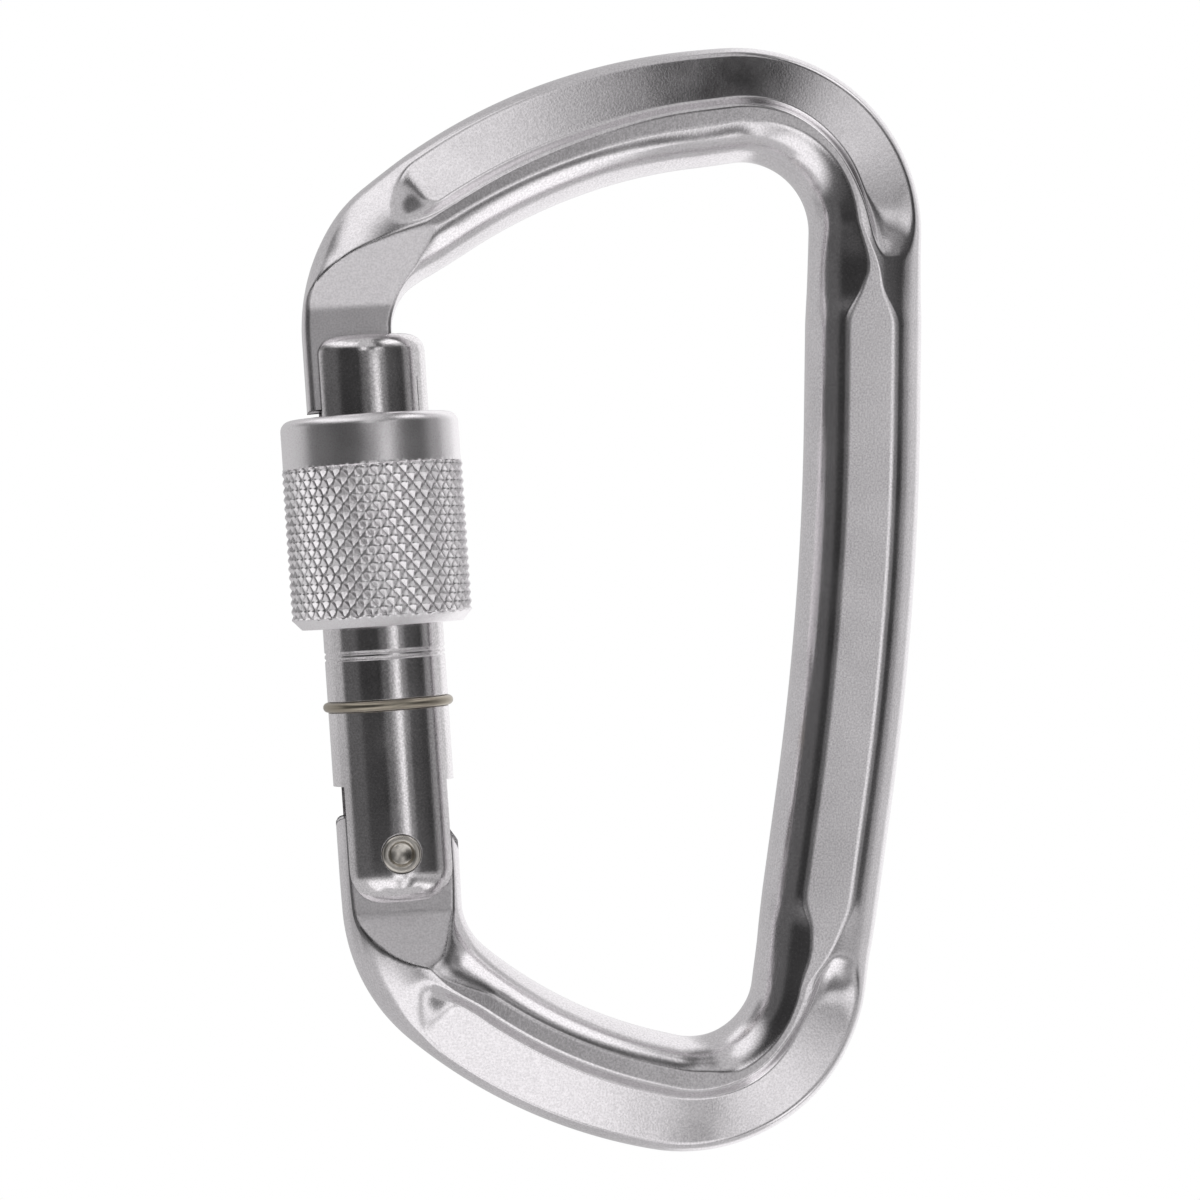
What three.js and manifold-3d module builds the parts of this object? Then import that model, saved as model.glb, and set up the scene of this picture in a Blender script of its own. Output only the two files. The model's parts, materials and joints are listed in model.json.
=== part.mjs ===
// A screw-gate locking carabiner with a key-lock nose, in millimetres, +Z up.
// Origin: the point of the top basket's inner face where the load hangs, in the middle plane.
// +X runs from the gate to the spine, and Y is the thickness. The part is symmetric about Y = 0.
import * as THREE from 'three';
import { mergeVertices } from 'three/addons/utils/BufferGeometryUtils.js';
import Module from 'manifold-3d';

const wasm = await Module();
wasm.setup();

// ---------------------------------------------------------------- driving dimensions

// Gate axis: where the hinge is, and how far the gate leans towards the outside.
const hingeX = -34.7;
const hingeZ = -70.53;
const gateLean = THREE.MathUtils.degToRad(3.9);

// Bar: the bend points of its centre line, each with the radius of its bend.
const topArm = { x: -19.3, z: 3.47, radius: 58 };
const topCorner = { x: 13.7, z: 7.67, radius: 13 };
const spineBend = { x: 13, z: -46.03, radius: 309 };
const lowCorner = { x: 5.7, z: -98.33, radius: 12.7 };
const lowArm = { x: -20.4, z: -92.73, radius: 50 };
const noseBendUp = 59.4;
const noseBendRadius = 12;
const hingeBendDown = 11.1;
const hingeBendRadius = 12.8;

// Bar: its section.
const armWidth = 11.9;
const cornerWidth = 11.4;
const spineWidth = 12;
const footWidth = 12.1;
const ribHalf = 5.5;
const panelHalf = 5.2;

// Bar: the recesses on its outer half. Their ends curve round their middle.
const recessDepth = 1.35;
const recessFall = 0.125;
const recessWall = 1.15;
const recessMiddle = 2.2;
const recessEndCurve = 0.4;
const recessCrispRise = 3.6;
const recessSoftRise = 4.8;

// Gate: a turned bar. Heights are measured along its axis from the hinge.
const gateRadius = 6.13;
const gateTop = 52.4;
const gateFoot = 5.0;
const gateEdge = 1.8;
const gateFootEdge = 2.4;
const boreRadius = 2.8;
const boreTop = 27;
const drillCone = 1.0;
const markHeight = 20.1;
const markDepth = 0.15;
const markWidth = 0.6;

// Nose: the flattened neck that enters the gate's slot, with its key.
const noseHalf = 3.4;
const noseInner = 2.9;
const noseTip = 45.15;
const noseShoulder = 55.3;
const noseRamp = THREE.MathUtils.degToRad(15.5);
const keyReach = 1.7;
const keyHeight = 2.0;
const keyHalf = 3.1;
const keyRound = 0.5;

// Hinge tongue: its flats, its shoulders and its cam edge.
const tongueHalf = 2.95;
const tongueTop = 3.75;
const tongueShoulder = 6.3;
const tongueRamp = THREE.MathUtils.degToRad(26);
const tongueCorner = 0.8;
const camRadius = 1.8;
const camShoulder = 2.9;
const camFall = 3.2;
const gateOpen = THREE.MathUtils.degToRad(40);

// Fork: the slot at the gate's foot that straddles the tongue.
const forkTop = 7.0;

// Sleeve: a knurled nut. sleeveFoot is where it stands on the gate's axis.
const sleeveRadius = 9.2;
const sleeveLength = 21.3;
const sleeveFoot = 23.0;
const sleeveLip = 5.0;
const sleeveFootChamfer = 1.05;
const sleeveRimChamfer = 0.8;
const knurlGroove = 0.2;
const threadLand = 8;
const threadLandUp = 6;
const counterbore = 0.45;
const noseBore = 7.3;

// Wire ring: the sleeve's stop.
const wireRadius = 0.5;
const ringHeight = 15.0;
const ringGap = THREE.MathUtils.degToRad(8);

// Rivet: semi-tubular, flared over both cheeks of the fork.
const rivetRadius = 1.6;
const rivetFlare = 1.95;
const rivetFlareHeight = 0.7;
const rivetProud = 0.1;
const rivetDimple = 1.25;
const rivetDimpleDepth = 1.3;
const rivetRoll = 0.3;

// Plunger and spring, inside the gate's bore.
const plungerRadius = 2.5;
const plungerHead = 2.4;
const plungerStem = 1.2;
const plungerStemLength = 5;
const springWire = 0.3;
const springTurns = 10;

// Edges broken on turned pieces.
const edgeBreak = 0.3;

// Clearances: where pieces seat, where they run, round the rivet, under the nose and over its key.
const seatGap = 0.3;
const runGap = 0.3;
const rivetGap = 0.15;
const slotFloorGap = 1.05;
const keyRoofGap = 0.45;

// How far stock and cutters run past a finished face, and how far a cutter reaches to clear the part.
const stock = 1.5;
const clear = 12;

// How finely round things are divided.
const barStations = 110;
const gateSegments = 48;
const sleeveSegments = 56;
const boreSegments = 32;
const plungerSegments = 24;
const coilSteps = 12;
const ringSteps = 48;

// ---------------------------------------------------------------- solids and placing

const gateAxis = new THREE.Matrix4().makeRotationY(-gateLean).setPosition(hingeX, 0, hingeZ);

/** A geometry with its shared points merged and its empty triangles dropped. */
function closed(geometry) {
  const bare = new THREE.BufferGeometry();
  bare.setAttribute('position', geometry.getAttribute('position'));
  bare.setIndex(geometry.getIndex());
  const merged = mergeVertices(bare, 1e-4);
  const index = merged.getIndex().array;
  const kept = [];
  for (let i = 0; i < index.length; i += 3) {
    const [a, b, c] = [index[i], index[i + 1], index[i + 2]];
    if (a !== b && b !== c && c !== a) kept.push(a, b, c);
  }
  merged.setIndex(kept);
  return merged;
}

function solid(geometry) {
  const mesh = closed(geometry);
  return new wasm.Manifold(new wasm.Mesh({
    numProp: 3,
    vertProperties: new Float32Array(mesh.getAttribute('position').array),
    triVerts: new Uint32Array(mesh.getIndex().array),
  }));
}

function geometryOf(manifold) {
  const mesh = manifold.getMesh();
  const geometry = new THREE.BufferGeometry();
  geometry.setAttribute('position', new THREE.BufferAttribute(mesh.vertProperties, 3));
  geometry.setIndex(new THREE.BufferAttribute(mesh.triVerts, 1));
  return geometry;
}

/** An outline in X and Z, given thickness along Y on both sides of the middle plane. */
function plate(shape, half, curveSegments = 24) {
  const geometry = new THREE.ExtrudeGeometry(shape, { depth: 2 * half, bevelEnabled: false, curveSegments });
  return geometry.translate(0, 0, -half).rotateX(Math.PI / 2);
}

/** An outline in Y and Z, carried along X from one place to another. */
function carriedAlongX(shape, from, to) {
  const geometry = new THREE.ExtrudeGeometry(shape, { depth: to - from, bevelEnabled: false });
  const yzx = new THREE.Matrix4().makeBasis(
    new THREE.Vector3(0, 1, 0), new THREE.Vector3(0, 0, 1), new THREE.Vector3(1, 0, 0));
  return geometry.translate(0, 0, from).applyMatrix4(yzx);
}

/** A profile of [radius, height] points, turned about Z. */
function turned(profile, segments) {
  const points = profile.map(([radius, height]) => new THREE.Vector2(radius, height));
  return new THREE.LatheGeometry(points, segments).rotateX(Math.PI / 2);
}

/** A round bar along Y, through the middle plane. */
function crossBar(radius, half) {
  return new THREE.CylinderGeometry(radius, radius, 2 * half, boreSegments);
}

/** The points of an arc that rounds a turned corner, from one angle to another in degrees. */
function cornerArc(radius, height, r, from, to, steps = 5) {
  return Array.from({ length: steps + 1 }, (_, i) => {
    const angle = THREE.MathUtils.degToRad(from + (to - from) * i / steps);
    return [radius + r * Math.cos(angle), height + r * Math.sin(angle)];
  });
}

// ---------------------------------------------------------------- the bar's centre line

const onGateAxis = (across, up) => {
  const point = new THREE.Vector3(across, 0, up).applyMatrix4(gateAxis);
  return { x: point.x, z: point.z };
};

const neckWidth = gateRadius + noseInner;
const neckMiddle = (noseInner - gateRadius) / 2;
const barEnd = tongueTop + stock;

const bends = [
  onGateAxis(neckMiddle, noseTip - stock),
  { ...onGateAxis(neckMiddle, noseBendUp), radius: noseBendRadius },
  topArm,
  topCorner,
  spineBend,
  lowCorner,
  lowArm,
  { ...onGateAxis(0, -hingeBendDown), radius: hingeBendRadius },
  onGateAxis(0, barEnd),
];

/**
 * The centre line: straight runs joined by arcs, and the length at the middle of each arc.
 * Where two arcs would overlap, both are made smaller until they just meet.
 */
function bentLine(corners) {
  const points = corners.map(({ x, z }) => new THREE.Vector2(x, z));
  const toward = (from, to) => points[to].clone().sub(points[from]).normalize();
  const halfAngle = (i) => toward(i, i - 1).angleTo(toward(i, i + 1)) / 2;
  const wanted = corners.map(({ radius }, i) => (radius ? radius / Math.tan(halfAngle(i)) : 0));
  const room = (i, next) => points[i].distanceTo(points[next]) / (wanted[i] + wanted[next]);
  const path = new THREE.Path();
  const middles = [];
  path.moveTo(points[0].x, points[0].y);
  for (let i = 1; i < corners.length - 1; i += 1) {
    const [back, on, half] = [toward(i, i - 1), toward(i, i + 1), halfAngle(i)];
    const reach = wanted[i] * Math.min(1, room(i, i - 1), room(i, i + 1));
    const radius = reach * Math.tan(half);
    const start = points[i].clone().addScaledVector(back, reach);
    const end = points[i].clone().addScaledVector(on, reach);
    const centre = points[i].clone()
      .addScaledVector(back.clone().add(on).normalize(), radius / Math.sin(half));
    path.lineTo(start.x, start.y);
    const before = path.getLength();
    path.absarc(centre.x, centre.y, radius,
      start.sub(centre).angle(), end.sub(centre).angle(), back.cross(on) > 0);
    path.updateArcLengths();
    middles.push((before + path.getLength()) / 2);
  }
  path.lineTo(points.at(-1).x, points.at(-1).y);
  path.updateArcLengths();
  return { path, middles, length: path.getLength() };
}

const bar = bentLine(bends);
const [atNose, , atTop, atSpine, atLow, , atHinge] = bar.middles;

// ---------------------------------------------------------------- the bar's section

/**
 * A section of the bar. Between crestIn and crestOut, offsets from the centre line, its top is level. soft
 * and sharp say how steeply it starts to fall at those edges, and square how square its outer side is:
 * 2 is an ellipse.
 */
function section(width, crestIn, crestOut, square = 2.8, half = ribHalf, soft = 0.2, sharp = 0.3) {
  return { width, crestIn, crestOut, square, half, soft, sharp };
}

const neck = section(neckWidth, -3.6, 3.6, 6);
const panel = section(spineWidth, -2.9, 2.75, 2, panelHalf, 0.42, 0.42);
const tongue = section(2 * gateRadius, -1.5, 1.5, 2);
const sections = [
  { at: 0, ...neck },
  { at: atNose - 5.3, ...neck },
  { at: atNose - 2, ...section(9.4, -3.4, 2.3, 2.5) },
  { at: atNose + 0.8, ...section(9.9, -3.1, 0.6, 2) },
  { at: atNose + 4.2, ...section(10.8, -2.7, -0.9, 2) },
  { at: atNose + 8.3, ...section(11.4, -1.7, -1.2, 2.3) },
  { at: atNose + 11, ...section(11.6, -2.2, -1.2) },
  { at: atTop - 28, ...section(armWidth, -2.5, -1.15) },
  { at: atTop - 15, ...section(armWidth, -2.4, -0.75) },
  { at: atTop - 7, ...section(11.5, -2.0, -0.7) },
  { at: atTop + 1, ...section(cornerWidth, -1.6, -1.0) },
  { at: atTop + 9.5, ...section(11.5, -1.6, -1.25) },
  { at: atTop + 14.8, ...section(11.7, -0.4, 0.6, 2.2, 5.35, 0.3) },
  { at: atTop + 17, ...section(11.8, -1.1, 1.1, 2.1, 5.25, 0.36) },
  { at: atTop + 20.8, ...panel },
  { at: atSpine, ...panel },
  { at: atLow - 20, ...panel },
  { at: atLow - 16.5, ...section(11.9, -1.5, 1.75, 2.1, 5.25, 0.36) },
  { at: atLow - 14, ...section(11.7, -1.15, 0.75, 2.2, 5.35, 0.3) },
  { at: atLow - 10.3, ...section(11.6, -1.7, -1.1) },
  { at: atLow - 6.5, ...section(cornerWidth, -1.8, -1.3) },
  { at: atLow + 1.5, ...section(cornerWidth, -1.8, -1.0) },
  { at: atLow + 6.5, ...section(11.6, -2.8, -1.05) },
  { at: atLow + 11.5, ...section(armWidth, -3.0, -1.15) },
  { at: atHinge - 9, ...section(footWidth, -2.7, -1.2) },
  { at: atHinge - 5, ...section(footWidth, -1.5, -0.8, 2.4) },
  { at: atHinge - 2, ...section(footWidth, -0.6, -0.5, 2.2) },
  { at: atHinge + 2.5, ...section(footWidth, -0.4, 0.6, 2) },
  { at: atHinge + 9, ...tongue },
  { at: bar.length, ...tongue },
];

// Scooped recesses on the outer half of both arms, each from its crisp end to its soft one.
const recesses = [
  { crisp: atTop + 13.8, soft: atNose + 6.6 },
  { crisp: atLow - 14.2, soft: atHinge - 3.2 },
];

/** Rises from 0 to 1, level at both ends. */
const ease = (x) => THREE.MathUtils.smoothstep(x, 0, 1);

/** Rises from 0 to 1 and ends level. */
const scoop = (x) => 1 - (1 - THREE.MathUtils.clamp(x, 0, 1)) ** 2;

/** How fast a size changes at a listed section: the harmonic mean of both sides, or 0 where it turns. */
function slopeAt(i, size) {
  if (i === 0 || i === sections.length - 1) return 0;
  const rise = (from, to) => (to[size] - from[size]) / (to.at - from.at);
  const [before, after] = [rise(sections[i - 1], sections[i]), rise(sections[i], sections[i + 1])];
  return before * after > 0 ? 2 * before * after / (before + after) : 0;
}

/** The section at a length along the bar, on a smooth curve through the listed ones. */
function sectionAt(length) {
  const next = Math.max(1, sections.findIndex(({ at }) => at >= length));
  const [a, b] = [sections[next - 1], sections[next]];
  const step = b.at - a.at;
  const t = THREE.MathUtils.clamp((length - a.at) / step, 0, 1);
  const between = (size) => (2 * t ** 3 - 3 * t ** 2 + 1) * a[size] + (3 * t ** 2 - 2 * t ** 3) * b[size]
    + ((t ** 3 - 2 * t ** 2 + t) * slopeAt(next - 1, size) + (t ** 3 - t ** 2) * slopeAt(next, size)) * step;
  return {
    outer: between('width') / 2,
    crestIn: between('crestIn'),
    crestOut: between('crestOut'),
    half: between('half'),
    soft: between('soft'),
    sharp: between('sharp'),
    square: between('square'),
  };
}

/** How far a recess is let in at a length along the bar and an offset across it, from 0 to 1. */
function recessShare(length, across, crestOut) {
  const late = recessEndCurve * (across - recessMiddle) ** 2;
  return ease((across - crestOut) / recessWall) * Math.max(...recesses.map(({ crisp, soft }) => {
    const way = Math.sign(crisp - soft);
    return scoop((way * (crisp - length) - late) / recessCrispRise)
      * ease((way * (length - soft) - late) / recessSoftRise);
  }));
}

/** Half the bar's thickness at an offset across it. */
function halfThickness({ outer, crestIn, crestOut, half, soft, sharp, square }, length, across) {
  let body = half;
  if (across < crestIn) {
    const q = THREE.MathUtils.lerp(soft, 1, Math.min(1, (crestIn - across) / (crestIn + outer)));
    body = half * Math.sqrt((1 - q * q) / (1 - soft * soft));
  } else if (across > crestOut) {
    const q = THREE.MathUtils.lerp(sharp, 1, Math.min(1, (across - crestOut) / (outer - crestOut)));
    body = half * ((1 - q ** square) / (1 - sharp ** square)) ** (1 / square);
  }
  const floor = half - recessDepth - recessFall * (across - crestOut);
  return body - recessShare(length, across, crestOut) * Math.max(0, body - floor);
}

// Where the section's points lie, from its inner edge to its outer one.
const innerSteps = [0, 18, 36, 52, 68, 82];
const outerSteps = [40, 54, 68, 80, 90];
const wallSteps = [0.3, 0.65, 1];

function offsetsAcross({ outer, crestIn, crestOut }) {
  const inner = innerSteps.map((angle) => {
    const share = Math.cos(THREE.MathUtils.degToRad(angle));
    return crestIn - share * (crestIn + outer);
  });
  const wallWidth = Math.min(recessWall, (outer - crestOut) / 2);
  const wallEnd = crestOut + wallWidth;
  const wall = wallSteps.map((share) => crestOut + share * wallWidth);
  const side = outerSteps.map((angle) => {
    const share = Math.sin(THREE.MathUtils.degToRad(angle));
    return wallEnd + share * (outer - wallEnd);
  });
  return [...inner, crestIn, crestOut, ...wall, ...side];
}

/** The bar: sections square to the centre line, joined into one closed skin. */
function barGeometry() {
  const rings = [];
  for (let i = 0; i <= barStations; i += 1) {
    const t = i / barStations;
    const length = t * bar.length;
    const middle = bar.path.getPoint(t);
    const along = bar.path.getTangent(t);
    const here = sectionAt(length);
    const offsets = offsetsAcross(here);
    const place = (across, y) => [middle.x - along.y * across, y, middle.y + along.x * across];
    const upper = offsets.map((across) => place(across, halfThickness(here, length, across)));
    const lower = upper.slice(1, -1).reverse().map(([x, y, z]) => [x, -y, z]);
    rings.push({ middle: place(0, 0), points: [...upper, ...lower] });
  }
  const around = rings[0].points.length;
  const positions = rings.flatMap((ring) => ring.points.flat());
  const index = [];
  for (let i = 0; i < barStations; i += 1) {
    for (let k = 0; k < around; k += 1) {
      const [a, b] = [i * around + k, i * around + (k + 1) % around];
      index.push(a, b, a + around, b, b + around, a + around);
    }
  }
  const first = positions.length / 3;
  positions.push(...rings[0].middle, ...rings.at(-1).middle);
  for (let k = 0; k < around; k += 1) {
    const next = (k + 1) % around;
    index.push(first, next, k);
    index.push(first + 1, barStations * around + k, barStations * around + next);
  }
  const geometry = new THREE.BufferGeometry();
  geometry.setAttribute('position', new THREE.Float32BufferAttribute(positions, 3));
  geometry.setIndex(index);
  return geometry;
}

// ---------------------------------------------------------------- the body

/** Two cutters, front and back, that leave a flat plate and a ramp up to the full bar. */
function flatsCutter(half, plateEnd, shoulder, ramp, from, to) {
  const away = Math.sign(shoulder - plateEnd);
  const rise = (clear - half) / Math.tan(ramp);
  return [1, -1].map((side) => {
    const outline = new THREE.Shape([
      new THREE.Vector2(side * half, plateEnd),
      new THREE.Vector2(side * clear, plateEnd),
      new THREE.Vector2(side * clear, shoulder + away * rise),
      new THREE.Vector2(side * half, shoulder),
    ]);
    return solid(carriedAlongX(outline, from, to).applyMatrix4(gateAxis));
  });
}

/** Everything nearer to the hinge than the nose's rounded end. */
function noseEndCutter() {
  const side = Math.asin(clear / noseTip);
  const outline = new THREE.Shape();
  outline.moveTo(-clear, noseTip - clear);
  outline.lineTo(clear, noseTip - clear);
  outline.absarc(0, 0, noseTip, Math.PI / 2 - side, Math.PI / 2 + side, false);
  return solid(plate(outline, clear).applyMatrix4(gateAxis));
}

const keyFoot = noseTip + seatGap;

/** The key on the nose's inner side, which hooks under the gate's ledge. */
function noseKey() {
  const right = noseInner + keyReach;
  const outline = new THREE.Shape();
  outline.moveTo(0, keyFoot);
  outline.lineTo(right - keyRound, keyFoot);
  outline.absarc(right - keyRound, keyFoot + keyRound, keyRound, -Math.PI / 2, 0, false);
  outline.lineTo(right, keyFoot + keyHeight);
  outline.lineTo(0, keyFoot + keyHeight);
  return solid(plate(outline, keyHalf, 6).applyMatrix4(gateAxis));
}

/** A point of the cam edge: the contact with the plunger's flat face when the gate is open by an angle. */
function camPoint(open) {
  const lift = tongueTop + camRadius * open;
  return new THREE.Vector2(camRadius, lift).rotateAround(new THREE.Vector2(), -open);
}

/** What lies over the tongue's top edge: a rounded outer corner, a flat, and the cam towards the inside. */
function tongueTopCutter() {
  const outline = new THREE.Shape();
  const corner = gateRadius - tongueCorner;
  const steps = 8;
  outline.moveTo(-clear, tongueTop - tongueCorner);
  outline.lineTo(-gateRadius, tongueTop - tongueCorner);
  outline.absarc(-corner, tongueTop - tongueCorner, tongueCorner, Math.PI, Math.PI / 2, true);
  for (let i = 0; i <= steps; i += 1) {
    const point = camPoint(gateOpen * i / steps);
    outline.lineTo(point.x, point.y);
  }
  const end = camPoint(gateOpen);
  outline.quadraticCurveTo(gateRadius, end.y - camShoulder, gateRadius, end.y - camFall);
  outline.lineTo(clear, end.y - camFall);
  outline.lineTo(clear, clear);
  outline.lineTo(-clear, clear);
  return solid(plate(outline, clear, 8).applyMatrix4(gateAxis));
}

function bodyGeometry() {
  let body = solid(barGeometry());
  const neckFlats = flatsCutter(noseHalf, noseTip - 2 * stock, noseShoulder, noseRamp, -clear, clear);
  const tongueFlats = flatsCutter(tongueHalf, barEnd + stock, -tongueShoulder, tongueRamp, -clear, clear);
  const hole = solid(crossBar(rivetRadius + runGap, clear).applyMatrix4(gateAxis));
  for (const cutter of [...neckFlats, ...tongueFlats, noseEndCutter(), tongueTopCutter(), hole]) {
    body = body.subtract(cutter);
  }
  return geometryOf(body.add(noseKey()));
}

// ---------------------------------------------------------------- the gate

const ringRoot = gateRadius - wireRadius - runGap;
const ringSeat = wireRadius + runGap;
const slotInner = noseInner + seatGap;
const slotHalf = noseHalf + seatGap;
const slotFloor = noseTip - slotFloorGap;
const keyPocketTop = keyFoot + keyHeight + keyRoofGap;
const forkHalf = tongueHalf + seatGap;

/** A box between two corners, on the gate's axis. */
function block([x0, y0, z0], [x1, y1, z1]) {
  return new THREE.BoxGeometry(x1 - x0, y1 - y0, z1 - z0)
    .translate((x0 + x1) / 2, (y0 + y1) / 2, (z0 + z1) / 2);
}

function gateGeometry() {
  const blank = solid(turned([
    [0, -gateFoot],
    ...cornerArc(gateRadius - gateFootEdge, gateFootEdge - gateFoot, gateFootEdge, -90, 0),
    [gateRadius, ringHeight - ringSeat],
    ...cornerArc(gateRadius, ringHeight, ringSeat, -90, -270, 8).slice(1, -1)
      .map(([radius, height]) => [Math.max(radius, ringRoot), height]),
    [gateRadius, ringHeight + ringSeat],
    [gateRadius, markHeight - markWidth / 2],
    [gateRadius - markDepth, markHeight - markWidth / 4],
    [gateRadius - markDepth, markHeight + markWidth / 4],
    [gateRadius, markHeight + markWidth / 2],
    ...cornerArc(gateRadius - gateEdge, gateTop - gateEdge, gateEdge, 0, 90),
    [0, gateTop],
  ], gateSegments));
  const cuts = [
    block([-clear, -slotHalf, slotFloor], [slotInner, slotHalf, gateTop + stock]),
    block([0, -slotHalf, slotFloor], [slotInner + keyReach, slotHalf, keyPocketTop]),
    block([-clear, -forkHalf, -clear], [clear, forkHalf, forkTop]),
    turned([
      [0, forkTop - stock],
      [boreRadius, forkTop - stock],
      [boreRadius, boreTop - drillCone],
      [0, boreTop],
    ], boreSegments),
    crossBar(rivetRadius + rivetGap, clear),
  ].map(solid);
  const countersink = (side) => solid(crossBar(rivetFlare + 2 * rivetGap, stock)
    .translate(0, side * (gateRadius - rivetFlareHeight + stock), 0));
  const gate = [...cuts, countersink(1), countersink(-1)]
    .reduce((rest, cutter) => rest.subtract(cutter), blank);
  return geometryOf(gate);
}

// ---------------------------------------------------------------- what the gate carries

const sleeveBore = gateRadius + runGap;

function sleeveGeometry() {
  const knurlTop = sleeveLength - sleeveLip;
  const wide = sleeveBore + counterbore;
  const landTop = threadLandUp + threadLand;
  return closed(turned([
    [wide, 0],
    [sleeveRadius - sleeveFootChamfer, 0],
    [sleeveRadius, sleeveFootChamfer],
    [sleeveRadius, knurlTop - knurlGroove],
    [sleeveRadius - knurlGroove, knurlTop],
    [sleeveRadius, knurlTop + knurlGroove],
    [sleeveRadius, sleeveLength - sleeveRimChamfer],
    [sleeveRadius - sleeveRimChamfer / 2, sleeveLength - sleeveRimChamfer / 4],
    [sleeveRadius - sleeveRimChamfer, sleeveLength],
    [noseBore + edgeBreak, sleeveLength],
    [noseBore, sleeveLength - edgeBreak],
    [noseBore, landTop + noseBore - sleeveBore],
    [sleeveBore, landTop],
    [sleeveBore, threadLandUp],
    [wide, threadLandUp - counterbore],
    [wide, 0],
  ], sleeveSegments));
}

/** An arc of wire about the gate's axis. */
class WireLoop extends THREE.Curve {
  getPoint(t, target = new THREE.Vector3()) {
    const angle = Math.PI / 2 + ringGap / 2 + t * (2 * Math.PI - ringGap);
    return target.set(gateRadius * Math.cos(angle), gateRadius * Math.sin(angle), 0);
  }
}

/** A coil about the gate's axis. */
class Coil extends THREE.Curve {
  constructor(radius, height, turns) {
    super();
    Object.assign(this, { radius, height, turns });
  }

  getPoint(t, target = new THREE.Vector3()) {
    const angle = 2 * Math.PI * this.turns * t;
    return target.set(this.radius * Math.cos(angle), this.radius * Math.sin(angle), this.height * t);
  }
}

function wireAlong(curve, radius, steps, sides) {
  const section = new THREE.Shape().absarc(0, 0, radius, 0, 2 * Math.PI, false);
  return closed(new THREE.ExtrudeGeometry(section, {
    steps, curveSegments: sides, bevelEnabled: false, extrudePath: curve,
  }));
}

const rivetEnd = gateRadius + rivetProud;

function rivetGeometry() {
  const half = (side) => [
    [rivetRadius, side * (rivetEnd - rivetFlareHeight)],
    [rivetFlare, side * (rivetEnd - rivetRoll)],
    [rivetFlare - rivetRoll / 2, side * (rivetEnd - rivetRoll / 6)],
    [(rivetFlare + rivetDimple) / 2, side * rivetEnd],
    [rivetDimple, side * (rivetEnd - rivetRoll)],
    [rivetDimple - rivetRoll / 3, side * (rivetEnd - rivetDimpleDepth + rivetRoll)],
    [0, side * (rivetEnd - rivetDimpleDepth)],
  ];
  return closed(turned([...half(-1).reverse(), ...half(1)], boreSegments).rotateX(Math.PI / 2));
}

const plungerFoot = tongueTop + seatGap;

function plungerGeometry() {
  const stemTop = plungerHead + plungerStemLength;
  return closed(turned([
    [0, 0],
    [plungerRadius - edgeBreak, 0],
    [plungerRadius, edgeBreak],
    [plungerRadius, plungerHead],
    [plungerStem, plungerHead],
    [plungerStem, stemTop - edgeBreak],
    [plungerStem - edgeBreak, stemTop],
    [0, stemTop],
  ], plungerSegments));
}

const coilRadius = boreRadius - runGap - springWire;
const springFoot = plungerFoot + plungerHead + seatGap + springWire;
const springHeight = boreTop - drillCone - seatGap - springWire - springFoot;

// ---------------------------------------------------------------- assembly

const metal = (color, roughness) => new THREE.MeshStandardMaterial({ color, roughness, metalness: 1 });
const finishes = {
  satin: metal(0xb9bbbe, 0.42),
  bright: metal(0xc9c9cb, 0.24),
  knurled: metal(0xcfcfd0, 0.3),
  rivet: metal(0xa9a59c, 0.22),
  wire: metal(0x8c8776, 0.3),
  spring: metal(0x8f9296, 0.3),
};

function piece(name, geometry, finish) {
  geometry.computeVertexNormals();
  const mesh = new THREE.Mesh(geometry, finish);
  mesh.name = name;
  return mesh;
}

const carabiner = new THREE.Group();
carabiner.add(piece('body', bodyGeometry(), finishes.satin));

const onGate = new THREE.Group();
onGate.position.set(hingeX, 0, hingeZ);
onGate.rotation.y = -gateLean;
carabiner.add(onGate);

onGate.add(piece('gate', gateGeometry(), finishes.bright));
onGate.add(piece('hinge_rivet', rivetGeometry(), finishes.rivet));

const plunger = piece('spring_plunger', plungerGeometry(), finishes.rivet);
plunger.position.z = plungerFoot;
onGate.add(plunger);

const coil = new Coil(coilRadius, springHeight, springTurns);
const springForm = wireAlong(coil, springWire, springTurns * coilSteps, 3);
const spring = piece('gate_spring', springForm, finishes.spring);
spring.position.z = springFoot;
onGate.add(spring);

const ring = piece('retaining_ring', wireAlong(new WireLoop(), wireRadius, ringSteps, 4), finishes.wire);
ring.position.z = ringHeight;
onGate.add(ring);

const sleeve = piece('locking_sleeve', sleeveGeometry(), finishes.knurled);
sleeve.position.z = sleeveFoot;
onGate.add(sleeve);

export default carabiner;
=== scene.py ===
import json
import math

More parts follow.
